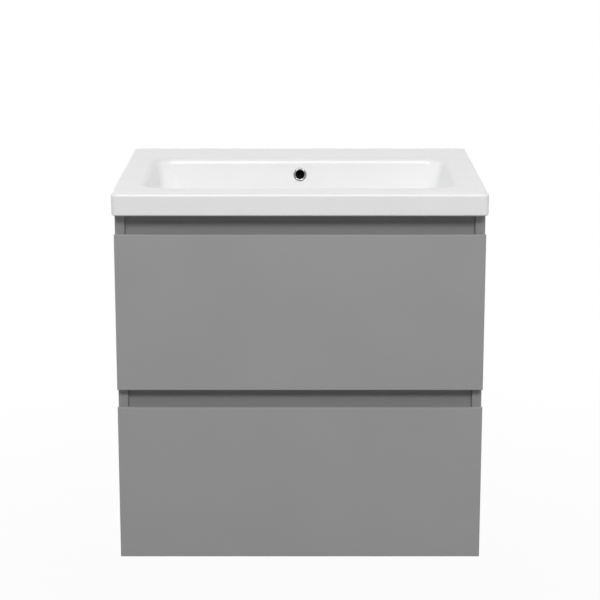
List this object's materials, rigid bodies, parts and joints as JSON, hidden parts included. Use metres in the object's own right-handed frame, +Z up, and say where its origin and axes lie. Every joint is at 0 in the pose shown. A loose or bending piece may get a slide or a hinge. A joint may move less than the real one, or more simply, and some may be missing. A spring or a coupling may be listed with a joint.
{
  "type": "bathroom vanity cabinet",
  "caption": "Wall-hung vanity: ceramic basin with overflow and push-open waste on a cabinet with two handleless drawers on full-extension runners, the upper one notched round the trap.",
  "frame": {"origin": "middle of the footprint, in the plane of the cabinet's underside", "axes": "+X to the right seen from the front, +Y to the wall, +Z up; the fronts face -Y"},
  "size_m": [0.605, 0.46, 0.62],
  "materials": {
    "glazed_ceramic": "glossy white glaze",
    "grey_lacquer": "matt grey lacquer",
    "drawer_board": "melamine-faced board",
    "chrome_plate": "polished chrome",
    "zinc_steel": "zinc-plated sheet steel",
    "screw_steel": "zinc-plated steel screws",
    "moulded_nylon": "moulded nylon",
    "clear_buffer": "soft clear polyurethane",
    "rubber_seal": "matt black rubber"
  },
  "bodies": {
    "cabinet": {"left_side_panel": "grey_lacquer", "right_side_panel": "grey_lacquer", "bottom_panel": "grey_lacquer", "upper_grip_rail": "grey_lacquer", "middle_grip_rail": "grey_lacquer", "upper_back_rail": "grey_lacquer", "lower_back_rail": "grey_lacquer", "front_buffers": "clear_buffer", "hanger_housings": "moulded_nylon", "hanger_hooks": "zinc_steel", "hanger_adjusters": "screw_steel", "wall_plates": "zinc_steel", "basin": "glazed_ceramic", "overflow_ring": "chrome_plate", "waste_body": "chrome_plate", "waste_seal": "rubber_seal", "waste_nut": "moulded_nylon", "lower_runner_cabinet_left": "zinc_steel", "lower_runner_cabinet_right": "zinc_steel", "upper_runner_cabinet_left": "zinc_steel", "upper_runner_cabinet_right": "zinc_steel"},
    "upper_drawer": {"upper_drawer_front": "grey_lacquer", "upper_box_left_side": "drawer_board", "upper_box_right_side": "drawer_board", "upper_box_front": "drawer_board", "upper_box_floor": "drawer_board", "upper_front_screws": "screw_steel", "upper_runner_drawer_left": "zinc_steel", "upper_runner_drawer_right": "zinc_steel", "upper_box_back_left": "drawer_board", "upper_box_back_right": "drawer_board", "trap_recess_left_wall": "drawer_board", "trap_recess_right_wall": "drawer_board", "trap_recess_front_wall": "drawer_board"},
    "lower_drawer": {"lower_drawer_front": "grey_lacquer", "lower_box_left_side": "drawer_board", "lower_box_right_side": "drawer_board", "lower_box_front": "drawer_board", "lower_box_floor": "drawer_board", "lower_front_screws": "screw_steel", "lower_runner_drawer_left": "zinc_steel", "lower_runner_drawer_right": "zinc_steel", "lower_box_back": "drawer_board"},
    "upper_slide_carriage": {"upper_runner_middle_left": "zinc_steel", "upper_runner_middle_right": "zinc_steel"},
    "lower_slide_carriage": {"lower_runner_middle_left": "zinc_steel", "lower_runner_middle_right": "zinc_steel"},
    "waste_plug": {"waste_plug": "chrome_plate", "plug_seal": "rubber_seal"}
  },
  "joints": [
    {"name": "upper_drawer_slide", "type": "slide", "parent": "cabinet", "child": "upper_drawer", "axis": [0, -1, 0], "range_m": [0, 0.32]},
    {"name": "lower_drawer_slide", "type": "slide", "parent": "cabinet", "child": "lower_drawer", "axis": [0, -1, 0], "range_m": [0, 0.32]},
    {"name": "upper_runner_slide", "type": "slide", "parent": "cabinet", "child": "upper_slide_carriage", "axis": [0, -1, 0], "range_m": [0, 0.16]},
    {"name": "lower_runner_slide", "type": "slide", "parent": "cabinet", "child": "lower_slide_carriage", "axis": [0, -1, 0], "range_m": [0, 0.16]},
    {"name": "plug_lift", "type": "slide", "parent": "cabinet", "child": "waste_plug", "axis": [0, 0, 1], "range_m": [0, 0.009]}
  ],
  "couplings": [
    {"joint": "upper_runner_slide", "follows": "upper_drawer_slide", "ratio": 0.5},
    {"joint": "lower_runner_slide", "follows": "lower_drawer_slide", "ratio": 0.5}
  ]
}
